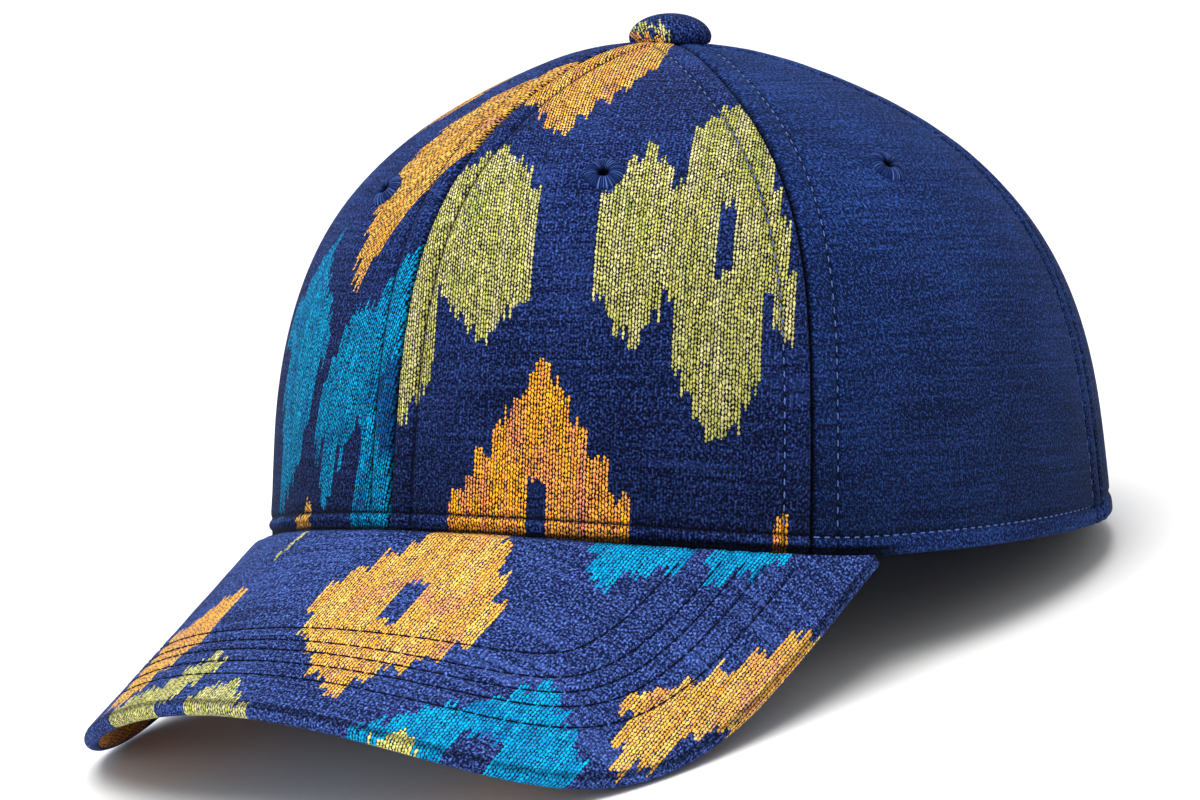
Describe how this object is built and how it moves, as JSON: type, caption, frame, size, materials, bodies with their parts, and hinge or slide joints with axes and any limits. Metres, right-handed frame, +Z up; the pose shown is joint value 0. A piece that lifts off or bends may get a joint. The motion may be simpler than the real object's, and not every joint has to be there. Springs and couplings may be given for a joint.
{
  "type": "baseball cap",
  "caption": "Panelled cloth cap with a curved peak, covered top button and stitched vent eyelets, in navy with a bold feathered ikat pattern.",
  "frame": {"origin": "centre of the bounding box's bottom face, on the surface that the cap stands on", "axes": "+Z up from that surface, -Y towards the front of the peak, +X towards the wearer's left; the cap leans back 13.7 degrees and 0.6 degrees to the wearer's right, as it stands on the peak's two sides and the back of the rim"},
  "size_m": [0.1704, 0.2528, 0.1299],
  "materials": {
    "panel_cloth": "matt navy woven cotton with a feathered ikat pattern in cyan, green and orange",
    "peak_cloth": "matt navy woven cotton with a feathered ikat pattern, topstitched in rows",
    "button_cloth": "matt navy woven cotton over a domed button",
    "eyelet_thread": "navy embroidery thread, slight sheen"
  },
  "bodies": {
    "root": {"front_panel_left": "panel_cloth", "front_panel_right": "panel_cloth", "side_panel_left": "panel_cloth", "side_panel_right": "panel_cloth", "back_panel_left": "panel_cloth", "back_panel_right": "panel_cloth", "peak": "peak_cloth", "button": "button_cloth", "eyelet_front_left": "eyelet_thread", "eyelet_front_right": "eyelet_thread", "eyelet_side_left": "eyelet_thread", "eyelet_side_right": "eyelet_thread", "eyelet_back_left": "eyelet_thread", "eyelet_back_right": "eyelet_thread"}
  },
  "joints": []
}
